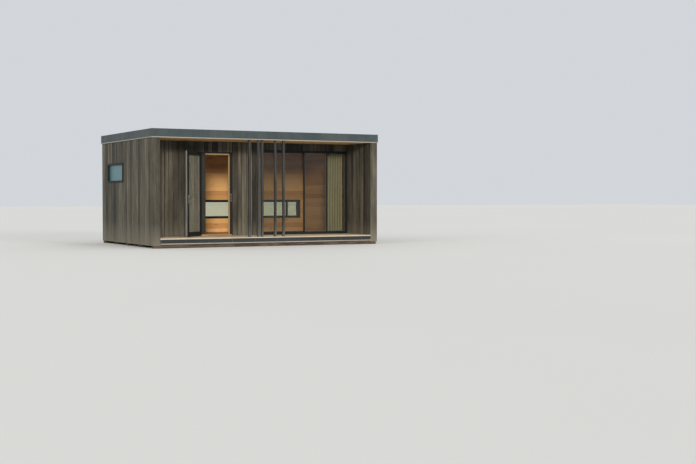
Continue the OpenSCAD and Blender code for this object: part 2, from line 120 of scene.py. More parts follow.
class Finish(Nodes):
    """A material being made. Its patterns follow self.place."""

    def __init__(self, name, grain=None):
        material = finishes[name] = bpy.data.materials.new(name)
        material.use_nodes = True
        self.tree = material.node_tree
        self.shader = self.tree.nodes["Principled BSDF"]
        self.place = self.own_place = self.node("TexCoord").outputs["Object"]
        if grain == "boards":
            self.place = self.attribute("grain", "Vector")
        elif grain:
            order = {"X": (1, 0, 2), "Y": (0, 1, 2), "Z": (0, 2, 1)}[grain]
            across, along, depth = (self.level(axis) for axis in order)
            self.place = self.node("CombineXYZ", _0=across, _1=along, _2=depth)

    def spread(self, sizes):
        """The place with each axis stretched."""
        return self.node("Mapping", Vector=self.place, Scale=sizes)

    def noise(self, scale, detail=4, rough=0.6, twist=0.0, sizes=None):
        """Noise, drawn out along an axis where sizes are given."""
        place = self.spread(sizes) if sizes else self.place
        return self.node("TexNoise", Vector=place, Scale=scale, Detail=detail, Roughness=rough,
                         Distortion=twist)

    def level(self, axis):
        return self.node("SeparateXYZ", Vector=self.own_place).outputs[axis]

    def steps(self, value, *stops):
        """A colour ramp from (position, colour) pairs."""
        ramp = self.node("ValToRGB", Fac=value)
        marks = ramp.color_ramp.elements
        while len(marks) < len(stops):
            marks.new(0.5)
        for mark, (place, colour) in zip(marks, stops):
            mark.position = place
            mark.color = (*colour, 1)
        return ramp

    def blend(self, amount, a, b, how="MIX"):
        a, b = ((*colour, 1) if isinstance(colour, tuple) else colour for colour in (a, b))
        return self.node("Mix", data_type="RGBA", blend_type=how, _0=amount, _6=a, _7=b).outputs[2]

    def shaded(self, colour, level):
        grey = self.node("CombineColor", _0=level, _1=level, _2=level)
        return self.blend(1.0, colour, grey, "MULTIPLY")

    def fit(self, value, low, high, new_low, new_high):
        return self.node("MapRange", Value=value, From_Min=low, From_Max=high, To_Min=new_low,
                         To_Max=new_high)

    def relief(self, height, depth, under=None):
        made = self.node("Bump", Height=height, Strength=1.0, Distance=depth)
        if under is not None:
            self.feed(made, "Normal", under)
        return made

    def attribute(self, name, output="Fac"):
        return self.node("Attribute", attribute_name=name).outputs[output]

    def surface(self, colour, pattern, smooth, dull, **others):
        """Sets the shader's colour, its roughness by a pattern, and its other inputs."""
        others.update(Base_Color=colour, Roughness=self.fit(pattern, 0.3, 0.7, smooth, dull))
        for key, value in others.items():
            self.feed(self.shader, key.replace("_", " "), value)


def times(colour, share):
    return tuple(channel * share for channel in colour)


# Finishes: what each one is made of

SHEET_START, SHEET_WIDTH = -2.99, 1.01


def charred_timber(name, burnt, brown, silver, wear=0.5, splashed=0.5):
    """Black-stained sawn boards, weathered to brown and grey where the fibres stand up."""
    f = Finish(name, "boards")
    fibres = f.noise(3.0, 8, 0.72, 0.35, sizes=(34, 1.3, 34))
    hairs = f.noise(3.0, 5, 0.7, sizes=(190, 3.5, 190))
    patches = f.noise(1.4, twist=0.4, sizes=(1.6, 0.55, 1.6))
    tracks = f.noise(2.0, 3, 0.55, sizes=(10, 0.22, 10))
    reach = f.math("ADD", f.level(2), f.math("MULTIPLY", patches, 0.5))
    splash = f.fit(reach, 0.25, 0.85, splashed, 0.0)
    tone = f.math("SUBTRACT", f.attribute("tone"), 0.5)
    raised = f.weighed((fibres, 0.55), (patches, 0.45), (tone, 0.30))
    base = f.steps(raised, (0.34, burnt), (0.52, brown), (0.72, silver))
    streak = f.math("MULTIPLY", f.fit(hairs, 0.35, 0.7, 0.72, 1.18), f.fit(tracks, 0.36, 0.64, 0.74, 1.44))
    base = f.shaded(base, streak)
    base = f.blend(splash, base, tuple(channel * 1.5 + 0.012 for channel in silver))
    edge = f.math("MULTIPLY", f.attribute("arris"), f.fit(fibres, 0.4, 0.65, 0.0, wear))
    base = f.blend(edge, base, times(silver, 1.7))
    f.surface(base, fibres, 0.58, 0.92, Specular_IOR_Level=0.35,
              Normal=f.relief(hairs, 0.0012, f.relief(fibres, 0.003)))


def planed_timber(name, dark, mid, light, rough=0.45, knots=0.7, relief=0.0008, grain="boards", grey=None,
                  shine=0.5):
    """Softwood with growth lines, knots and its own tone on each board."""
    f = Finish(name, grain)
    bend = f.noise(2.0, 3, 0.5, sizes=(2.2, 0.5, 2.2))
    both = f.node("CombineXYZ", _0=bend, _1=0.0, _2=bend)
    bent = f.node("VectorMath", operation="MULTIPLY_ADD", _0=both, _1=(0.05, 0, 0.05), _2=f.place)
    about_pith = f.node("Mapping", Vector=bent, Scale=(9, 0.35, 9))
    lines = f.node("TexWave", wave_type="RINGS", rings_direction="Y", Vector=about_pith, Scale=3.0,
                   Distortion=2.2, Detail=3.0, Detail_Scale=1.4).outputs["Fac"]
    fibres = f.noise(3.0, 5, 0.65, sizes=(120, 2.4, 120))
    spots = f.node("TexVoronoi", Vector=f.spread((7.5, 1.5, 7.5)), Scale=1.0).outputs["Distance"]
    knot = f.math("MULTIPLY", f.fit(spots, 0.05, 0.13, 1.0, 0.0), knots)
    tone = f.attribute("tone") if grain == "boards" else bend
    level = f.weighed((lines, 0.35), (fibres, 0.4), (tone, 0.3))
    base = f.steps(level, (0.28, dark), (0.55, mid), (0.85, light))
    base = f.blend(knot, base, times(dark, 0.35))
    if grey:
        worn = f.noise(1.5, 5, 0.65, sizes=(3, 0.8, 3))
        base = f.blend(f.fit(worn, 0.35, 0.6, 0.35, 0.95), base, grey)
    f.surface(base, fibres, rough, rough + 0.2, Specular_IOR_Level=shine,
              Normal=f.relief(fibres, relief))


def coated_metal(name, colour, rough, dust, runs_show=0.0, shine=0.5):
    """Powder-coated or folded metal: fine orange-peel, dust and faint rain streaks."""
    f = Finish(name)
    cloud = f.noise(1.7, 5)
    runs = f.noise(2.0, sizes=(9, 9, 0.6))
    peel = f.noise(420, 2, 0.5)
    washed = f.math("MULTIPLY", f.fit(runs, 0.45, 0.75, 0.0, 1.0), runs_show)
    settled = f.math("ADD", f.fit(cloud, 0.4, 0.75, 0.0, 0.5), washed, True)
    f.surface(f.blend(settled, colour, dust), runs, rough - 0.05, rough + 0.16, Specular_IOR_Level=shine,
              Normal=f.relief(peel, 0.0002))


def bare_metal(name, colour, rough):
    """Brushed metal with fine upright lines."""
    f = Finish(name)
    lines = f.noise(3.0, 4, 0.7, sizes=(160, 160, 2))
    stain = f.noise(3.0, 5)
    shade = f.blend(f.fit(stain, 0.4, 0.7, 0.0, 0.5), colour, times(colour, 0.72))
    f.surface(shade, lines, rough, rough + 0.18, Metallic=1.0, Normal=f.relief(lines, 0.0003))


def see_through_glass(name, tint, dust):
    """Glass to look through, with the mirror gloss of its faces and a film of dust."""
    f = Finish(name)
    f.tree.nodes.remove(f.shader)
    clear = f.node("BsdfTransparent", Color=(*tint, 1))
    gloss = f.node("BsdfGlossy", Color=(0.68, 0.70, 0.68, 1), Roughness=0.02)
    film = f.node("BsdfDiffuse", Color=(0.56, 0.56, 0.49, 1))
    aslant = f.math("POWER", f.node("LayerWeight", Blend=0.5).outputs["Facing"], 5.0)
    mirrored = f.math("ADD", f.math("MULTIPLY", aslant, 0.955), 0.026)
    smear = f.fit(f.noise(2.3), 0.35, 0.75, 0.9, 1.25)
    amount = f.math("MULTIPLY", mirrored, smear, True)
    clean = f.node("MixShader", _0=amount, _1=clear, _2=gloss)
    settled = f.fit(f.noise(1.5, sizes=(5, 5, 1.2)), 0.3, 0.7, dust * 0.5, dust * 1.5)
    dusty = f.node("MixShader", _0=settled, _1=clean, _2=film)
    f.feed(f.tree.nodes["Material Output"], "Surface", dusty)


def satin_glass(name, colour):
    """Frosted glass that lets a little light through."""
    f = Finish(name)
    cloud = f.noise(2.5)
    speck = f.noise(260, 3)
    base = f.blend(f.fit(cloud, 0.3, 0.7, 0.0, 0.6), colour, times(colour, 0.82))
    f.surface(base, speck, 0.24, 0.4, Transmission_Weight=0.25, IOR=1.45,
              Normal=f.relief(speck, 0.0003))


def moulded(name, colour):
    """Rubber or nylon with a pale bloom."""
    f = Finish(name)
    bloom = f.noise(8, 5)
    base = f.blend(f.fit(bloom, 0.45, 0.75, 0.0, 0.5), colour, times(colour, 2.6))
    f.surface(base, bloom, 0.55, 0.75, Normal=f.relief(f.noise(300, 2, 0.5), 0.0002))


def roof_covering(name):
    """Grey-black sheets with dust and the pale rings of dried puddles."""
    f = Finish(name)
    wide = f.noise(0.7, 5, twist=0.3)
    fine = f.noise(14, 5, 0.65)
    dried = f.fit(f.math("ABSOLUTE", f.math("SUBTRACT", wide, 0.52)), 0.0, 0.02, 0.16, 0.0)
    sheet = f.math("FLOOR", f.math("DIVIDE", f.math("ADD", f.level(0), -SHEET_START), SHEET_WIDTH))
    batch = f.node("TexWhiteNoise", noise_dimensions="1D", W=sheet).outputs["Value"]
    level = f.weighed((wide, 0.5), (fine, 0.34), (batch, 0.12))
    base = f.steps(level, (0.3, (0.030, 0.031, 0.033)), (0.7, (0.072, 0.073, 0.073)))
    base = f.blend(dried, base, (0.12, 0.117, 0.11))
    f.surface(base, fine, 0.6, 0.85, Normal=f.relief(fine, 0.0006))


def woven_cloth(name, dark, light):
    """Plain weave on the cloth's own map: threads, slubs, painted shade in the fold hollows with painted
    light on the ridges, and a soft sheen.
    """
    f = Finish(name)
    f.place = f.node("UVMap", uv_map="cloth")
    warp, weft = (f.node("TexWave", wave_type="BANDS", bands_direction=way, Vector=f.place, Scale=190.0,
                         Distortion=0.6, Detail=1.0).outputs["Fac"] for way in "XY")
    slub = f.noise(3.0, sizes=(60, 2, 1))
    fade = f.noise(1.6)
    thread = f.math("MULTIPLY", f.math("ADD", warp, weft), 0.5)
    level = f.weighed((thread, 0.3), (slub, 0.4), (fade, 0.3))
    # Painted shade: the cloth is darkened in the hollows of its folds and lightened on the ridges
    painted_fold_shade = f.fit(f.attribute("ridge"), 0.1, 0.9, 0.5, 1.2)
    base = f.shaded(f.steps(level, (0.3, dark), (0.7, light)), painted_fold_shade)
    f.surface(base, slub, 0.8, 0.95, Sheen_Weight=0.25, Sheen_Roughness=0.5,
              Normal=f.relief(thread, 0.0004))


# The cabin's own finishes, which pieces call by name

charred_timber("black_boards", (0.014, 0.013, 0.011), (0.050, 0.0455, 0.035), (0.120, 0.110, 0.084))
charred_timber("post_stain", (0.016, 0.018, 0.020), (0.042, 0.044, 0.044), (0.098, 0.095, 0.086), 0.8)
charred_timber("edge_stain", (0.008, 0.010, 0.013), (0.022, 0.027, 0.032), (0.050, 0.056, 0.060), 0.6, 0.15)
planed_timber("core_stain", (0.010, 0.009, 0.008), (0.018, 0.015, 0.012), (0.030, 0.025, 0.02), 0.75, 0.2,
              grain="Z")
planed_timber("warm_boards", (0.32, 0.145, 0.045), (0.57, 0.315, 0.118), (0.75, 0.485, 0.225))
planed_timber("floor_finish", (0.25, 0.10, 0.03), (0.47, 0.22, 0.075), (0.66, 0.38, 0.16), 0.32, 0.5, 0.0004)
planed_timber("sill_timber", (0.20, 0.085, 0.03), (0.38, 0.19, 0.075), (0.55, 0.32, 0.15), 0.5, 0.2,
              grain="X")
planed_timber("pale_boards", (0.36, 0.24, 0.11), (0.54, 0.41, 0.22), (0.70, 0.57, 0.36), 0.42, 0.25)
planed_timber("deck_finish", (0.24, 0.16, 0.09), (0.50, 0.38, 0.24), (0.66, 0.53, 0.36),
              0.78, 0.35, 0.0015, grey=(0.48, 0.41, 0.31), shine=0.15)
planed_timber("nosing_finish", (0.20, 0.145, 0.095), (0.42, 0.345, 0.25), (0.56, 0.47, 0.355),
              0.78, 0.35, 0.0015, grey=(0.40, 0.36, 0.30), shine=0.15)
planed_timber("base_stain", (0.035, 0.026, 0.018), (0.075, 0.056, 0.038), (0.13, 0.10, 0.07),
              0.78, 0.4, 0.0015)
planed_timber("joist_stain", (0.045, 0.034, 0.022), (0.10, 0.075, 0.05), (0.17, 0.13, 0.09),
              0.78, 0.4, 0.0015, "Y")
planed_timber("greyed_edge", (0.095, 0.100, 0.094), (0.165, 0.172, 0.162), (0.26, 0.265, 0.255), 0.6, 0.1)
coated_metal("fascia_coat", (0.026, 0.040, 0.047), 0.46, (0.070, 0.076, 0.075), 0.3, 0.3)
coated_metal("frame_coat", (0.009, 0.011, 0.012), 0.5, (0.019, 0.020, 0.018), 0.15, 0.16)
coated_metal("post_coat", (0.018, 0.019, 0.017), 0.55, (0.036, 0.035, 0.030), 0.3, 0.2)
coated_metal("pale_trim", (0.26, 0.25, 0.22), 0.42, (0.17, 0.16, 0.14), 0.5, 0.35)
coated_metal("spacer_grey", (0.22, 0.22, 0.22), 0.38, (0.15, 0.15, 0.145))
coated_metal("latch_black", (0.006, 0.006, 0.006), 0.6, (0.02, 0.02, 0.02))
bare_metal("steel", (0.56, 0.56, 0.55), 0.28)
bare_metal("dull_steel", (0.30, 0.30, 0.29), 0.45)
see_through_glass("clear_glass", (0.81, 0.82, 0.79), 0.008)
see_through_glass("rear_glass", (0.80, 0.80, 0.68), 0.006)
see_through_glass("leaf_glass", (0.955, 0.968, 0.955), 0.09)
satin_glass("frosted_glass", (0.058, 0.178, 0.215))
moulded("seal_rubber", (0.012, 0.012, 0.013))
moulded("white_nylon", (0.25, 0.25, 0.24))
roof_covering("sheet_covering")
woven_cloth("curtain_cloth", (0.29, 0.27, 0.188), (0.53, 0.49, 0.355))

for material, names in (
        ("core_stain", "left_wall right_wall rear_wall front_wall_left front_wall_mid front_wall_head"),
        ("frame_coat", "door_leaf patio_frame fixed_panel sliding_panel side_window_frame rear_window_frame"),
        ("steel", "door_fixings door_hinges door_handle"),
        ("clear_glass", "fixed_glass sliding_glass"),
        ("pale_trim", "deck_ledge drip_trim"),
        ("joist_stain", "roof_frame"),
        ("sheet_covering", "roof_deck"),
        ("fascia_coat", "roof_fascia"),
        ("post_coat", "door_frame"),
        ("sill_timber", "door_sill"),
        ("leaf_glass", "door_glass"),
        ("rear_glass", "rear_window_glass"),
        ("frosted_glass", "side_window_glass")):
    for name in names.split():
        slots = frame["nodes"][name].data.materials
        slots.clear()
        slots.append(finishes[material])


# Geometry Nodes trees

GRAIN_SHIFT = (13.0, 29.0, 7.0)


class Recipe(Nodes):
    """A Geometry Nodes tree being written: a plan comes in, with named inputs beside it."""

    def __init__(self, name, **inputs):
        self.tree = bpy.data.node_groups.new(name, "GeometryNodeTree")
        for kind, labels in {"Geometry": "Geometry", **inputs}.items():
            for label in labels.split():
                self.tree.interface.new_socket(label, in_out="INPUT", socket_type="NodeSocket" + kind)
        self.tree.interface.new_socket("Geometry", in_out="OUTPUT", socket_type="NodeSocketGeometry")
        self.given = self.node("NodeGroupInput").outputs

    def shape(self, kind, **values):
        return self.node("GeometryNode" + kind, **values).outputs

    def held(self, name, kind="FLOAT"):
        """A value that the plan or a board carries."""
        return self.shape("InputNamedAttribute", data_type=kind, Name=name)[0]

    def keep(self, geometry, name, value, kind="FLOAT", domain="POINT", **selection):
        return self.shape("StoreNamedAttribute", data_type=kind, domain=domain, Geometry=geometry, Name=name,
                          Value=value, **selection)[0]

    def finish(self, geometry, material):
        """Ends the tree: instances made real, flat shading, and the material."""
        real = self.shape("RealizeInstances", Geometry=geometry)[0]
        flat = self.shape("SetShadeSmooth", Geometry=real, Shade_Smooth=False)[0]
        self.node("NodeGroupOutput", _0=self.shape("SetMaterial", Geometry=flat, Material=material)[0])
        return self.tree


def boards_tree():
    """Turns each face of a plan into a board: narrowed by the gap, raised and eased."""
    t = Recipe("boards_from_faces", Float="Thickness Arris Gap Unevenness", Vector="Across Along Out",
               Int="Seed", Material="Timber")
    given, width, number = t.given, t.held("board_width"), t.held("board_number", "INT")

    def chance(seed):
        return t.node("FunctionNodeRandomValue", data_type="FLOAT", ID=number, Seed=seed).outputs[1]

    def narrowed(geometry, loss, **selection):
        share = t.math("SUBTRACT", 1.0, t.math("DIVIDE", loss, width))
        return t.shape("ScaleElements", domain="FACE", scale_mode="SINGLE_AXIS", Geometry=geometry,
                       Axis=given["Across"], Scale=share, **selection)[0]

    def raised(geometry, height, **selection):
        return t.shape("ExtrudeMesh", mode="FACES", Mesh=geometry, Offset_Scale=height, Individual=True,
                       **selection)

    plan = t.keep(narrowed(given["Geometry"], given["Gap"]), "tone", chance(given["Seed"]))
    slack = t.math("MULTIPLY", chance(t.math("ADD", given["Seed"], 31)), given["Unevenness"])
    body_height = t.math("SUBTRACT", t.math("SUBTRACT", given["Thickness"], given["Arris"]), slack)
    body = raised(plan, body_height)
    eased = raised(body[0], given["Arris"], Selection=body[1])
    marked = t.keep(eased[0], "arris", 1.0, domain="FACE", Selection=eased[2])
    topped = narrowed(marked, t.math("MULTIPLY", given["Arris"], 2.0), Selection=eased[1])
    both = t.node("GeometryNodeJoinGeometry", _0=topped)
    t.feed(both, 0, t.shape("FlipFaces", Mesh=plan)[0])
    whole = t.shape("MergeByDistance", Geometry=both, Distance=0.00002)[0]
    place, tone = t.shape("InputPosition")[0], t.held("tone")
    parts = []
    for axis, shift in zip(("Across", "Along", "Out"), GRAIN_SHIFT):
        far = t.node("VectorMath", operation="DOT_PRODUCT", _0=place, _1=given[axis]).outputs["Value"]
        parts.append(t.math("ADD", far, t.math("MULTIPLY", tone, shift)))
    grain = t.node("CombineXYZ", _0=parts[0], _1=parts[1], _2=parts[2])
    return t.finish(t.keep(whole, "grain", grain, "FLOAT_VECTOR"), given["Timber"])


def heads_tree():
    """A low domed screw or bolt head at each point of a plan, turned to face outwards."""
    t = Recipe("heads_on_points", Float="Radius Height", Vector="Turn", Material="Steel")
    radius = t.given["Radius"]
    head = t.shape("MeshCone", fill_type="NGON", Vertices=10, Side_Segments=2, Radius_Bottom=radius,
                   Radius_Top=t.math("MULTIPLY", radius, 0.62), Depth=t.given["Height"])[0]
    turn = t.node("FunctionNodeEulerToRotation", Euler=t.given["Turn"])
    spread = t.shape("InstanceOnPoints", Points=t.given["Geometry"], Instance=head, Rotation=turn)[0]
    return t.finish(spread, t.given["Steel"])


BOARDS, HEADS = boards_tree(), heads_tree()


def grow(name, plan, tree, values):
    """Runs a tree on a plan and keeps what it makes as a plain mesh."""
    holder = placed(name + "_plan", plan)
    modifier = holder.modifiers.new("build", "NODES")
    modifier.node_group = tree
    for item in tree.interface.items_tree:
        if item.in_out == "INPUT" and item.name in values:
            modifier[item.identifier] = values[item.name]
    graph = bpy.context.evaluated_depsgraph_get()
    mesh = bpy.data.meshes.new_from_object(holder.evaluated_get(graph), preserve_all_data_layers=True,
                                           depsgraph=graph)
    bpy.data.objects.remove(holder)
    bpy.data.meshes.remove(plan)
    return placed(name, mesh)


def join(name, pieces):
    """One mesh out of several, with what each face holds kept."""
    if len(pieces) > 1:
        with bpy.context.temp_override(active_object=pieces[0], selected_editable_objects=pieces):
            bpy.ops.object.join()
    pieces[0].name = pieces[0].data.name = name
    return pieces[0]


PIVOT = Matrix.Translation(frame["record"]["behaviour"]["joints"][0]["pos_m"])
LEAF_OPEN = PIVOT @ Matrix.Rotation(math.radians(-133), 4, "Z") @ PIVOT.inverted()


def seat(piece, slot, *replaced, body=CABIN):
    """Puts a piece on its body. The leaf's pieces are made as if it were shut, and turn open here."""
    if body == LEAF:
        piece.data.transform(LEAF_OPEN)
    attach(piece, body)
    if replaced:
        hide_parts(*replaced)
    return piece


# Blocks of space, and board layouts on them

class Block(namedtuple("Block", "left right front back foot top")):
    """The space between six sides: left to right, front to back and foot to top."""

    low = property(lambda self: Vector(self[::2]))
    high = property(lambda self: Vector(self[1::2]))
    size = property(lambda self: self.high - self.low)

    def slice(self, axis, low, high, inset):
        """The block between two levels on one axis, drawn in on the other two."""
        sides = [side - inset if k % 2 else side + inset for k, side in enumerate(self)]
        sides[2 * axis:2 * axis + 2] = low, high
        return Block(*sides)


Block.cut = Block._replace


def place_of(node):
    """The block that a CAD node fills."""
    return Block(*(side for pair in zip(*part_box(node)) for side in pair))


def about(middle, half):
    return middle - half, middle + half


class Layer:
    """One flat layer of parallel boards."""

    def __init__(self, origin, across, along, out, seed, mixed=0.0):
        self.origin, self.across, self.along, self.out = origin, across, along, out
        self.seed, self.mixed = seed, mixed
        self.rng = random.Random(seed)
        self.boards = []

    def span(self, block):
        """A block's low and high across the boards, then along them."""
        return [corner.dot(way) for way in (self.across, self.along) for corner in (block.low, block.high)]

    def fill(self, block, module, holes=(), joints=0):
        """Boards over a block, broken round holes, with a joint line at each hole's side."""
        start, end, low, high = self.span(block)
        holes = [self.span(hole) for hole in holes]
        breaks = sorted({start, end, *(e for h in holes for e in h[:2] if start < e < end)})
        for a, b in zip(breaks, breaks[1:]):
            count = max(1, round((b - a) / module))
            shares = [self.rng.uniform(1 - self.mixed, 1 + self.mixed) for _ in range(count)]
            edge = a
            for share in shares:
                width = (b - a) * share / sum(shares)
                self.lengths(edge, edge + width, low, high, holes, joints)
                edge += width
        return self

    def lengths(self, a, b, low, high, holes, joints, end_gap=0.0012, longest=2.2, least=0.001):
        """One board's lengths: between the holes it meets, and in two where it is long and may be joined."""
        cuts = sorted((h[2], h[3]) for h in holes if h[0] < (a + b) / 2 < h[1])
        spans, bottom = [], low
        for cut_low, cut_high in (*cuts, (high, high)):
            if cut_low > bottom + least:
                spans.append((bottom, cut_low))
            bottom = max(bottom, cut_high)
        for lower, upper in spans:
            marks = [lower, upper]
            if joints and upper - lower > longest:
                marks.insert(1, lower + joints * self.rng.randint(2, int((upper - lower) / joints) - 2))
            for m, n in zip(marks, marks[1:]):
                self.boards.append((a, b, m if m == lower else m + end_gap, n if n == upper else n - end_gap))

    def point(self, u, v, w=0.0):
        return self.origin + self.across * u + self.along * v + self.out * w

    def build(self, name, thickness, timber, gap, arris, unevenness=0.0):
        corners, faces, widths, numbers = [], [], [], []
        forward = self.across.cross(self.along).dot(self.out) > 0
        for i, (a, b, low, high) in enumerate(self.boards):
            faces.append(tuple(len(corners) + k for k in ((0, 1, 2, 3) if forward else (3, 2, 1, 0))))
            corners += [self.point(u, v) for u, v in ((a, low), (b, low), (b, high), (a, high))]
            widths += [b - a] * 4
            numbers += [i] * 4
        plan = bpy.data.meshes.new(name)
        plan.from_pydata(corners, [], faces)
        plan.attributes.new("board_width", "FLOAT", "POINT").data.foreach_set("value", widths)
        plan.attributes.new("board_number", "INT", "POINT").data.foreach_set("value", numbers)
        return grow(name, plan, BOARDS, {
            "Thickness": thickness, "Arris": arris, "Gap": gap, "Unevenness": unevenness,
            "Across": tuple(self.across), "Along": tuple(self.along), "Out": tuple(self.out),
            "Seed": self.seed, "Timber": finishes[timber]})

    def screws(self, levels, height, inset=0.026, narrow=0.07, end_clear=0.02):
        """Two screws a board at each level that it covers, or one in a narrow board."""
        places = []
        for a, b, low, high in self.boards:
            sides = ((a + b) / 2,) if b - a < narrow else (a + inset, b - inset)
            for level in levels:
                if low + end_clear < level < high - end_clear:
                    places += [self.point(u + self.rng.uniform(-0.002, 0.002),
                                          level + self.rng.uniform(-0.003, 0.003), height) for u in sides]
        return places


def heads(places, out, radius=0.004, height=0.0011, material="steel", name="heads"):
    plan = bpy.data.meshes.new(name)
    plan.from_pydata(places, [], [])
    turn = Z.rotation_difference(out).to_euler()
    return grow(name, plan, HEADS, {"Radius": radius, "Height": height, "Turn": tuple(turn),
                                    "Steel": finishes[material]})


# Plain solids made in mesh code

def solid(name, corners, faces, material):
    mesh = bpy.data.meshes.new(name)
    mesh.from_pydata(corners, [], faces)
    mesh.validate()
    mesh.materials.append(finishes[material])
    return placed(name, mesh)


def closed_solid(name, shapes, material):
    """One mesh out of several closed shapes, with every face turned outwards."""
    corners, faces = [], []
    for points, sides in shapes:
        faces += [tuple(i + len(corners) for i in side) for side in sides]
        corners += points
    piece = solid(name, corners, faces, material)
    work = bmesh.new()
    work.from_mesh(piece.data)
    bmesh.ops.recalc_face_normals(work, faces=work.faces)
    work.to_mesh(piece.data)
    work.free()
    return piece


def ring_mesh(block, width, depth_axis):
    """Points and faces of a mitred rectangular ring that fills a block's outline."""
    a, b = [k for k in range(3) if k != depth_axis]
    points, faces = [], []
    for depth in (block.low, block.high):
        for inset in (0, width):
            for u, v in ((0, 0), (1, 0), (1, 1), (0, 1)):
                point = depth.copy()
                point[a] = block.high[a] - inset if u else block.low[a] + inset
                point[b] = block.high[b] - inset if v else block.low[b] + inset
                points.append(point)
    for k, n in ((0, 1), (1, 2), (2, 3), (3, 0)):
        faces += [(k, n, 4 + n, 4 + k), (8 + k, 12 + k, 12 + n, 8 + n), (k, 8 + k, 8 + n, n),
                  (4 + k, 4 + n, 12 + n, 12 + k)]
    return points, faces


def rings(name, blocks, width, depth_axis, material):
    return closed_solid(name, [ring_mesh(block, width, depth_axis) for block in blocks], material)


def add_block(work, block, ease):
    """Adds a block with eased edges; returns its first faces and the eased ones."""
    corners = bmesh.ops.create_cube(work, size=1.0)["verts"]
    low, high = block.low, block.high
    for corner in corners:
        corner.co = Vector(low[k] + (corner.co[k] + 0.5) * (high[k] - low[k]) for k in range(3))
    faces = {face for corner in corners for face in corner.link_faces}
    edges = dict.fromkeys(edge for corner in corners for edge in corner.link_edges)
    eased = bmesh.ops.bevel(work, geom=list(edges), offset=ease, segments=1, affect="EDGES")["faces"]
    return faces, eased


def finish_work(name, work, material):
    mesh = bpy.data.meshes.new(name)
    work.to_mesh(mesh)
    work.free()
    mesh.materials.append(finishes[material])
    return placed(name, mesh)


def bars(name, blocks, material, ease):
    work = bmesh.new()
    for block in blocks:
        add_block(work, block, ease)
    return finish_work(name, work, material)


def timbers(name, members, material, seed, ease):
    """Sawn timbers with eased edges: each member is a block and the axis its grain runs along."""
    rng = random.Random(seed)
    work = bmesh.new()
    tone_of = work.faces.layers.float.new("tone")
    edge_of = work.faces.layers.float.new("arris")
    grain_of = work.verts.layers.float_vector.new("grain")
    for block, axis in members:
        faces, eased = add_block(work, block, ease)
        tone = rng.random()
        shift = Vector(tone * far for far in GRAIN_SHIFT)
        along = "XYZ".index(axis)
        across, depth = [k for k in range(3) if k != along]
        for face in set(eased) | {face for face in faces if face.is_valid}:
            face[tone_of] = tone
            face[edge_of] = 1.0 if face in eased else 0.0
            for v in face.verts:
                v[grain_of] = Vector((v.co[across], v.co[along], v.co[depth])) + shift
    return finish_work(name, work, material)


def swept(points, radius, sides):
    """Points and faces of a round bar that follows a path, with rounded ends."""
    path = [Vector(point) for point in points]
    ahead = [(path[min(i + 1, len(path) - 1)] - path[max(i - 1, 0)]).normalized() for i in range(len(path))]
    turns = [(0, -1.3), (0, -0.8), (0, -0.35), *((i, 0) for i in range(len(path))), (-1, 0.35), (-1, 0.8),
             (-1, 1.3)]
    corners, faces = [], []
    side = ahead[0].orthogonal().normalized()
    for i, angle in turns:
        side = (side - ahead[i] * side.dot(ahead[i])).normalized()
        other = ahead[i].cross(side)
        centre = path[i] + ahead[i] * radius * math.sin(angle)
        corners += [centre + (side * math.cos(t) + other * math.sin(t)) * radius * math.cos(angle)
                    for t in (2 * math.pi * k / sides for k in range(sides))]
    last = len(corners) - sides
    for a in range(0, last, sides):
        for k in range(sides):
            n = (k + 1) % sides
            faces.append((a + k, a + n, a + sides + n, a + sides + k))
    faces += [tuple(reversed(range(sides))), tuple(range(last, len(corners)))]
    return corners, faces


# Outer boards and their screws

left, rear, front, fin, cap, door_frame, patio, side_window, rear_window, way = map(
    place_of, ("left_cladding rear_cladding front_cladding fin_cladding fin_caps door_frame patio_frame "
               "side_window_frame rear_window_frame door_lining").split())
BOARD_THICK = left.size.x
BOARD_WIDTH, MIXED, SHADOW_GAP, UNEVEN = 0.128, 0.30, 0.013, 0.004
BATTENS = (0.16, 0.62, 1.10, 1.58, 2.06, 2.50)
PORCH_BATTENS = BATTENS[1:]
patio_hole = patio.cut(right=patio.right + 0.01, foot=0)
porch_end = fin.cut(back=front.front)


def wall(name, block, origin, across, out, seed, battens, *holes):
    """Upright boards and their screws."""
    layer = Layer(origin, across, Z, out, seed, MIXED).fill(block, BOARD_WIDTH, holes)
    boards = layer.build(name + "_boards", BOARD_THICK, "black_boards", SHADOW_GAP, 0.002, UNEVEN)
    return boards, heads(layer.screws(battens, BOARD_THICK - UNEVEN), out, material="dull_steel")


walls, wall_screws = zip(
    wall("left", left, X * left.right, Y, -X, 11, BATTENS, side_window),
    wall("right", left, X * -left.right, Y, X, 12, BATTENS),
    wall("rear", rear, Y * rear.front, X, Y, 13, BATTENS, rear_window),
    wall("porch_wall", front, Y * front.back, X, -Y, 14, PORCH_BATTENS, door_frame.cut(foot=0), patio_hole),
    wall("fin_left", porch_end, X * -fin.right, Y, X, 15, PORCH_BATTENS),
    wall("fin_right", porch_end, X * fin.right, Y, -X, 16, PORCH_BATTENS))
for boards, replaced in zip(walls, ("left_cladding", "right_cladding", "rear_cladding", "front_cladding")):
    seat(boards, "charred_timber", replaced)
seat(join("fin_boards", walls[4:]), "charred_timber", "fin_cladding")

CORNER_WIDTH = cap.right - front.right
caps = Layer(Y * cap.back, X, Z, -Y, 17)
caps.fill(cap.cut(right=front.left), CORNER_WIDTH).fill(cap.cut(left=front.right), CORNER_WIDTH)
seat(caps.build("corner_boards", BOARD_THICK, "black_boards", 0.0005, 0.003), "charred_timber", "fin_caps")
cap_screws = heads(caps.screws(BATTENS, BOARD_THICK - 0.0006), -Y, material="dull_steel")
seat(join("cladding_screws", [*wall_screws, cap_screws]), "handle_steel")


# Deck, floor, ceiling, soffit and linings

JOIST_PITCH = 0.5911


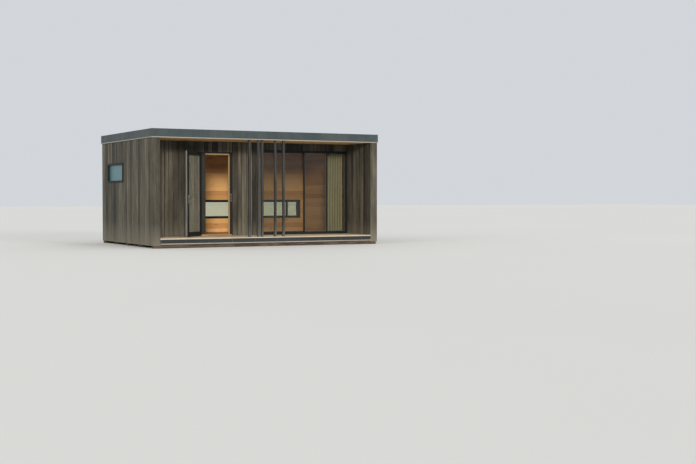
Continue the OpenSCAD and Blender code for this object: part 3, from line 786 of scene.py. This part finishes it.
def planks(what, slot, out, seed, width, joints, timber, *cut):
    """Boards along the cabin in place of a flat CAD layer; cut gives their gap, arris and unevenness."""
    block = place_of(what + "_boards")
    origin = Z * (block.foot if out == Z else block.top)
    layer = Layer(origin, Y, X, out, seed).fill(block, width, joints=joints)
    seat(layer.build(what + "_planks", block.size.z, timber, *cut), slot, what + "_boards")
    return layer, block


deck_layer, deck = planks("deck", "deck_timber", Z, 21, 0.141, JOIST_PITCH, "deck_finish", 0.006, 0.003)
deck_joists = [deck.left + 0.05 + JOIST_PITCH * i for i in range(10)]
seat(heads(deck_layer.screws(deck_joists, deck.size.z - 0.0004, 0.03), Z, 0.0042, 0.0006, "dull_steel",
           "deck_screws"), "handle_steel")
_, floor = planks("floor", "natural_timber", Z, 22, 0.16, 0.45, "floor_finish", 0.0012, 0.0012, 0.0003)
planks("ceiling", "natural_timber", -Z, 27, 0.12, 0.6, "warm_boards", 0.001, 0.0025, 0.0002)
planks("soffit", "natural_timber", -Z, 28, 0.115, 0.6, "warm_boards", 0.004, 0.0025, 0.0005)

side_lining, end_lining = place_of("side_linings"), place_of("end_linings")
LINING_THICK = side_lining.right - front.right


def lining(block, origin, along, out, seed, *holes):
    layer = Layer(origin, Z, along, out, seed).fill(block, 0.12, holes)
    return layer.build("lining", LINING_THICK, "warm_boards", 0.001, 0.0025, 0.0002)


seat(join("side_lining_planks", [
    lining(side_lining, X * -side_lining.right, Y, X, 23, side_window),
    lining(side_lining, X * side_lining.right, Y, -X, 24)]), "natural_timber", "side_linings")
seat(join("end_lining_planks", [
    lining(end_lining, Y * (floor.front - LINING_THICK), X, Y, 25, way.cut(foot=0), patio_hole),
    lining(end_lining, Y * (floor.back + LINING_THICK), X, -Y, 26, rear_window)]),
    "natural_timber", "end_linings")


# Timbers under the deck, the deck's edge, the doorway's lining and the screen posts

BEARER, RIM = 0.095, 0.045
bearers, base, edge = place_of("base_bearers"), place_of("base_frame"), place_of("deck_edge_board")
step = (bearers.size.y - BEARER) / 4
members = [(bearers.cut(front=y, back=y + BEARER), "X") for y in (bearers.front + i * step for i in range(5))]
seat(timbers("bearer_timbers", members, "base_stain", 31, 0.004), "base_timber", "base_bearers")
pitch = (base.size.x - RIM) / 10
inside = base.cut(front=base.front + RIM, back=base.back - RIM)
members = [(base.cut(front=y, back=y + RIM), "X") for y in (base.front, base.back - RIM)]
members += [(inside.cut(left=x, right=x + RIM), "Y") for x in (base.left + i * pitch for i in range(11))]
seat(timbers("base_joists", members, "base_stain", 32, 0.002), "base_timber", "base_frame")

JOINT = 0.0008
nosing_foot = edge.top - deck.size.z
breaks = [edge.left, -1.0, 1.0, edge.right]
thirds = [edge.cut(left=a + JOINT, right=b - JOINT) for a, b in zip(breaks, breaks[1:])]
members = [(part.cut(top=nosing_foot), "X") for part in thirds]
seat(timbers("deck_edge_lengths", members, "edge_stain", 33, 0.003), "dark_frame", "deck_edge_board")
members = [(part.cut(back=edge.back - JOINT, foot=nosing_foot + 0.0006), "X") for part in thirds]
seat(timbers("deck_nosing", members, "nosing_finish", 37, 0.0035), "deck_timber")

LINING_FACE, LINING_HEAD = 0.022, 0.035
head_foot = way.top - LINING_HEAD
members = [(way.cut(right=way.left + LINING_FACE, top=head_foot), "Z"),
           (way.cut(left=way.right - LINING_FACE, top=head_foot), "Z"), (way.cut(foot=head_foot), "X")]
seat(timbers("lining_timbers", members, "pale_boards", 34, 0.0015), "pale_timber", "door_lining")

post = place_of("screen_posts")
POST, SHOE, SHOE_EDGE = 0.045, 0.003, 0.004
posts = [post.cut(left=x - 3, right=x - 3 + POST) for x in (2.443, 2.673, 2.780, 3.128, 3.350)]
members = [(p.cut(foot=p.foot + 0.004, top=p.top - SHOE), "Z") for p in posts]
seat(timbers("porch_posts", members, "post_stain", 35, 0.003), "charred_timber", "screen_posts")
shoes = [Block(p.left - SHOE_EDGE, p.right + SHOE_EDGE, p.front - SHOE_EDGE, p.back + SHOE_EDGE, z, z + SHOE)
         for p in posts for z in (p.foot, p.top - SHOE)]
seat(bars("post_plates", shoes, "frame_coat", 0.0008), "dark_frame")
foot_screws = [(p.left + POST / 2, p.front, z) for p in posts
               for z in (p.foot + 0.03, p.foot + 0.06, p.top - 0.03, p.top - 0.06)]
edge_screws = [(base.left + RIM / 2 + (i + 0.3) * pitch, edge.front, z) for i in range(10)
               for z in (edge.foot + 0.025, nosing_foot - 0.025)]
seat(join("porch_screws", [heads(foot_screws, -Y, 0.0035), heads(edge_screws, -Y)]), "handle_steel")


# Glass units: rubber lips on both faces and a spacer bar inside each unit

LIP, LIP_PROUD, LIP_SUNK, BEAD = 0.005, 0.0018, 0.0004, 0.014
SPACER, SPACER_IN, SPACER_SIDE = 0.009, 0.006, 0.001


def glaze(seals, spacers, groups, body=CABIN):
    """A group: its units, the axis through them, how far beads lap each face, and the spacers' width."""
    made = {seals: [], spacers: []}
    for units, axis, low_cover, high_cover, width in groups:
        lips, frames = [], []
        for unit in units:
            low, high = unit.low[axis], unit.high[axis]
            lips.append(unit.slice(axis, low - LIP_PROUD, low + LIP_SUNK, low_cover))
            lips.append(unit.slice(axis, high - LIP_SUNK, high + LIP_PROUD, high_cover))
            frames.append(unit.slice(axis, low + SPACER_IN, high - SPACER_IN, SPACER_SIDE))
        made[seals].append(rings(seals, lips, LIP, axis, "seal_rubber"))
        made[spacers].append(rings(spacers, frames, width, axis, "spacer_grey"))
    seat(join(seals, made[seals]), "dark_frame", body=body)
    seat(join(spacers, made[spacers]), "trim_metal", body=body)


fixed, rear_pane = place_of("fixed_glass"), place_of("rear_window_glass")
glaze("wall_glass_seals", "wall_glass_spacers", (
    ([fixed.cut(right=2.190), fixed.cut(left=2.240)], 1, 0, 0, SPACER),
    ([rear_pane.cut(right=2.296), rear_pane.cut(left=2.344)], 1, BEAD, 0, SPACER),
    ([place_of("side_window_glass")], 0, 0, BEAD, SPACER + BEAD / 2)))
glaze("sliding_glass_seals", "sliding_glass_spacer", [([place_of("sliding_glass")], 1, 0, 0, SPACER)], SLIDER)
LEAF_PANE = Block(-1.267, -0.560, -0.717, -0.693, 0.337, 2.225)
glaze("leaf_glass_seals", "leaf_glass_spacer", [([LEAF_PANE], 1, 0.010, 0.010, SPACER + 0.006)], LEAF)


# Ironmongery of the leaf, as if it were shut

LEAF_EDGE, LEAF_FRONT, LEAF_BACK, LEAF_FOOT, LEAF_TOP = -0.472, -0.730, -0.680, 0.242, 2.313
HINGE_LEVELS, HINGE_FRONT = (0.482, 1.2775, 2.073), LEAF_FRONT - 0.003
SPINDLE, PLATE_LEVEL, PLATE_THICK, CYLINDER = -0.538, [1.139], 0.007, 1.093
edge_strip = Block(LEAF_EDGE - 0.004, LEAF_EDGE + 0.0009, LEAF_FRONT + 0.0008, LEAF_BACK - 0.014,
                   LEAF_FOOT + 0.001, LEAF_TOP - 0.001)
seat(timbers("leaf_edge_strip", [(edge_strip, "Z")], "greyed_edge", 36, 0.0006), "pale_timber", body=LEAF)


def pairs(x, y, levels, half, out=-Y):
    return heads([(x, y, z + up) for z in levels for up in (-half, half)], out, 0.0035)


plate_front = LEAF_FRONT - PLATE_THICK
seat(join("leaf_fixings", [
    pairs(SPINDLE, plate_front, PLATE_LEVEL, 0.088),
    pairs(SPINDLE, LEAF_BACK + PLATE_THICK, PLATE_LEVEL, 0.088, Y),
    pairs(-1.331, HINGE_FRONT, HINGE_LEVELS, 0.010),
    heads([(SPINDLE, plate_front, CYLINDER)], -Y, 0.0085, 0.0035)]), "handle_steel", body=LEAF)
key_slot = Block(*about(SPINDLE, 0.0006), LEAF_FRONT - 0.0112, LEAF_FRONT - 0.0104, *about(CYLINDER, 0.0045))
seat(bars("key_slot", [key_slot], "latch_black", 0.0001), "dark_frame", body=LEAF)


# Ironmongery of the doorway and the slider: keep, door seal, threshold and pull

KEEP_X, KEEP_FACE = -0.481, -0.674
seat(join("frame_fixings", [
    pairs(-1.385, HINGE_FRONT, HINGE_LEVELS, 0.036),
    heads([(KEEP_X, KEEP_FACE, z) for z in (1.102, 1.268)], -Y, 0.003)]), "handle_steel")
latch_slots = [Block(*about(KEEP_X, 0.006), KEEP_FACE - 0.0004, KEEP_FACE + 0.0002, *levels)
               for levels in ((1.125, 1.155), (1.180, 1.225))]
seat(bars("latch_slots", latch_slots, "latch_black", 0.0001), "dark_frame")
STOP, SEAL_LAP = door_frame.front, 0.0045
door_seal = Block(way.left - SEAL_LAP, way.right + SEAL_LAP, STOP - 0.0015, STOP + 0.0002, 0.250,
                  way.top + SEAL_LAP)
seat(rings("door_seal", [door_seal], 0.004, 1, "seal_rubber"), "dark_frame")
STRIP_Y, sill_top = -0.648, place_of("door_sill").top
strip_top = sill_top + 0.003
threshold = Block(way.left + 0.001, way.right - 0.001, *about(STRIP_Y, 0.020), sill_top, strip_top)
strip_screws = heads([(way.left + 0.05 + 0.142 * i, STRIP_Y, strip_top) for i in range(5)], Z, 0.0038)
seat(join("threshold_strip", [bars("strip", [threshold], "pale_trim", 0.0008), strip_screws]), "trim_metal")

pull = place_of("slider_handle")
GRIP, ARM_IN = pull.size.x, 0.030
pull_parts = [pull.cut(back=pull.front + GRIP)]
pull_parts += [pull.cut(front=pull.front + GRIP / 2, foot=z, top=z + GRIP)
               for z in (pull.foot + ARM_IN, pull.top - ARM_IN - GRIP)]
seat(bars("slider_pull", pull_parts, "steel", 0.0028), "handle_steel", "slider_handle", body=SLIDER)


# Roof covering laps, edge strips, and the fascia's joints and screws

roof = place_of("roof_deck")
EAVES_TOP, COPING_X, COPING_Y, COPING, COPING_FOOT = 2.766, 2.945, 1.945, 0.085, 2.7645
LAP, LAP_THICK, LAP_SUNK = 0.055, 0.0034, 0.0004
laps = []
for seed, side in ((51, -1), (52, 1)):
    along = Vector((0, side * roof.back, EAVES_TOP - roof.top)).normalized()
    out = Vector((0, -along.z * along.y, abs(along.y))).normalized()
    layer = Layer(Z * (roof.top - LAP_SUNK), X, along, out, seed)
    layer.boards = [(x, x + LAP, 0.0, COPING_Y) for x in (SHEET_START + SHEET_WIDTH * i for i in range(1, 6))]
    laps.append(layer.build("laps", LAP_THICK, "sheet_covering", 0.0004, 0.0012))
seat(join("covering_laps", laps), "roof_membrane")
strips = [Block(-COPING_X, COPING_X, y, y + COPING, COPING_FOOT, 2.7695)
          for y in (-COPING_Y, COPING_Y - COPING)]
strips += [Block(x, x + COPING, COPING - COPING_Y, COPING_Y - COPING, COPING_FOOT, 2.7755)
           for x in (-COPING_X, COPING_X - COPING)]
seat(bars("roof_edge_strips", strips, "sheet_covering", 0.0015), "roof_membrane")

band = place_of("roof_fascia")
STRAP, PROUD = 0.05, 0.0012
heights = (band.foot + 0.001, band.top - 0.0004)
straps = [Block(*about(x, STRAP / 2), *about(y, PROUD), *heights) for x in (-1.0, 1.0)
          for y in (band.front, band.back)]
straps += [Block(*about(x, PROUD), *about(0, STRAP / 2), *heights) for x in (band.left, band.right)]
seat(bars("fascia_straps", straps, "fascia_coat", 0.0004), "fascia_metal")
marks = [(-2.88 + 0.48 * i, z) for i in range(13) for z in (2.625, 2.765)]
end_marks = marks[4:-4]
seat(join("fascia_screws", [heads(places, out, 0.0045, material="dull_steel") for places, out in (
    ([(x, band.front, z) for x, z in marks], -Y),
    ([(x, band.back, z) for x, z in marks], Y),
    ([(band.left, y, z) for y, z in end_marks], -X),
    ([(band.right, y, z) for y, z in end_marks], X))]), "handle_steel")


# Curtain: one gathered cloth, with the same flat width at every height

hung, rail = place_of("curtain"), place_of("curtain_rail")
CLOTH_WIDTH, CLOTH_DROP, FOLDS, CLOTH_THICK = 1.12, 2.24, 6, 0.0016
ACROSS, ROWS, MARGIN = 240, 90, 0.006
curtain_top = rail.foot - 0.018
curtain_middle = (hung.front + hung.back) / 2


def fold_line(down):
    """Plan of the cloth at a share of the drop: x and y along its width, cut to the same length."""
    rng = random.Random(41)
    phases = [rng.uniform(-0.5, 0.5) for _ in range(FOLDS + 1)]
    sizes = [rng.uniform(0.75, 1.15) for _ in range(FOLDS + 1)]
    width = (hung.right - hung.left - 2 * MARGIN) * (0.90 + 0.10 * min(1, down * 1.6))

    def line(swing):
        points = []
        for i in range(ACROSS + 1):
            t = i / ACROSS
            place = t * FOLDS
            k = min(int(place), FOLDS - 1)
            part = place - k
            ease = part * part * (3 - 2 * part)
            size = sizes[k] * (1 - ease) + sizes[k + 1] * ease
            drift = (phases[k] * (1 - ease) + phases[k + 1] * ease) * (0.25 + 0.75 * down)
            wave = math.sin(2 * math.pi * place + drift)
            lean = 0.20 * math.sin(4 * math.pi * place + 2 * drift) * (width / FOLDS) / 2
            bend = math.copysign(abs(wave) ** 0.8, wave)
            points.append((hung.right - MARGIN - width + t * width + lean * 0.8,
                           curtain_middle + swing * bend * (size * (0.55 + 0.45 * down) + 0.45 * (1 - down))))
        return points

    low, high = 0.0, 0.09
    for _ in range(24):
        half = (low + high) / 2
        points = line(half)
        length = sum(math.dist(a, b) for a, b in zip(points, points[1:]))
        low, high = (half, high) if length < CLOTH_WIDTH else (low, half)
    return line(low)


plans = [fold_line(j / ROWS) for j in range(ROWS + 1)]


def cloth(name, first, last, thickness):
    """The cloth between two rows, with its own map and how far each fold stands out, which sets the painted
    shade in its hollows.
    """
    points, faces, places, ridges = [], [], [], []
    for j in range(first, last + 1):
        for i, (x, y) in enumerate(plans[j]):
            points.append((x, y, curtain_top - CLOTH_DROP * j / ROWS))
            places.append((CLOTH_WIDTH * i / ACROSS, CLOTH_DROP * (1 - j / ROWS)))
            # How far the fold stands out towards the front, which sets the painted shade of the hollows and
            # painted light on the ridges
            ridges.append(0.5 + (curtain_middle - y) / hung.size.y)
    for j in range(last - first):
        for a in range(j * (ACROSS + 1), j * (ACROSS + 1) + ACROSS):
            faces.append((a, a + ACROSS + 1, a + ACROSS + 2, a + 1))
    piece = solid(name, points, faces, "curtain_cloth")
    own_map = piece.data.uv_layers.new(name="cloth")
    for loop in piece.data.loops:
        own_map.data[loop.index].uv = places[loop.vertex_index]
    piece.data.attributes.new("ridge", "FLOAT", "POINT").data.foreach_set("value", ridges)
    piece.data.shade_smooth()
    thick = piece.modifiers.new("thickness", "SOLIDIFY")
    thick.thickness = thickness
    thick.offset = 0
    return piece


curtain = seat(cloth("drawn_curtain", 0, ROWS, CLOTH_THICK), "curtain_cloth", "curtain")
hem = seat(cloth("curtain_hem", ROWS - 3, ROWS, 0.0048), "curtain_cloth")
header = seat(cloth("curtain_header", 0, 2, 0.0044), "curtain_cloth")

rail_middle = (rail.front + rail.back) / 2
hooks = closed_solid("curtain_hooks", [
    swept([(x, y, curtain_top - 0.012), (x, y, curtain_top + 0.004), (x, rail_middle, curtain_top + 0.010),
           (x, rail_middle, rail.foot)], 0.0012, 6)
    for x, y in plans[0][::ACROSS // (FOLDS * 2)]], "white_nylon")
hooks.data.shade_smooth()
seat(hooks, "trim_metal")

WEB, FLANGE, END_CAP = 0.0025, 0.010, 0.003
web_foot, flange_top = rail.top - WEB, rail.foot + WEB
end_cap = rail.cut(front=rail.front - 0.0008, back=rail.back + 0.0008, foot=rail.foot - 0.0008)
track = [
    rail.cut(foot=web_foot),
    rail.cut(back=rail.front + WEB, top=web_foot),
    rail.cut(front=rail.back - WEB, top=web_foot),
    rail.cut(front=rail.front + WEB, back=rail.front + FLANGE, top=flange_top),
    rail.cut(front=rail.back - FLANGE, back=rail.back - WEB, top=flange_top),
    end_cap.cut(left=rail.left - END_CAP, right=rail.left),
    end_cap.cut(left=rail.right, right=rail.right + END_CAP)]
seat(bars("curtain_track", track, "pale_trim", 0.0003), "trim_metal", "curtain_rail")


# Studio

plain = Finish("studio_floor")
cloud = plain.noise(0.12, 3, 0.5)
plain.surface(plain.blend(cloud, (0.60, 0.595, 0.58), (0.64, 0.635, 0.62)), cloud, 0.85, 0.95)
STAGE, STAGE_TOP = 120, -0.001
stage_corners = [(x * STAGE, y * STAGE, STAGE_TOP) for x, y in ((-1, -1), (1, -1), (1, 1), (-1, 1))]
solid("studio_floor", stage_corners, [(0, 1, 2, 3)], "studio_floor")

scene.world = bpy.data.worlds.new("studio_sky")
scene.world.use_nodes = True
sky = scene.world.node_tree.nodes["Background"].inputs
sky["Color"].default_value = (0.86, 0.90, 0.95, 1)
sky["Strength"].default_value = 0.75
for name, direction, strength, colour, spread, mirrored in (
        ("key_light", (0.40, 0.895, -0.20), 2.5, (1.0, 0.90, 0.76), 8, True),
        ("side_light", (0.90, 0.30, -0.30), 0.78, (1.0, 0.93, 0.66), 50, False),
        ("fill_light", (-0.30, 0.93, -0.22), 1.35, (1.0, 0.92, 0.82), 14, False),
        ("top_light", (-0.30, 0.20, -0.93), 0.5, (0.90, 0.95, 1.0), 60, True)):
    data = bpy.data.lights.new(name, "SUN")
    data.energy = strength
    data.color = colour
    data.angle = math.radians(spread)
    lamp = placed(name, data)
    lamp.visible_glossy = mirrored
    lamp.rotation_euler = aimed(direction)
scene.view_settings.view_transform = "Standard"
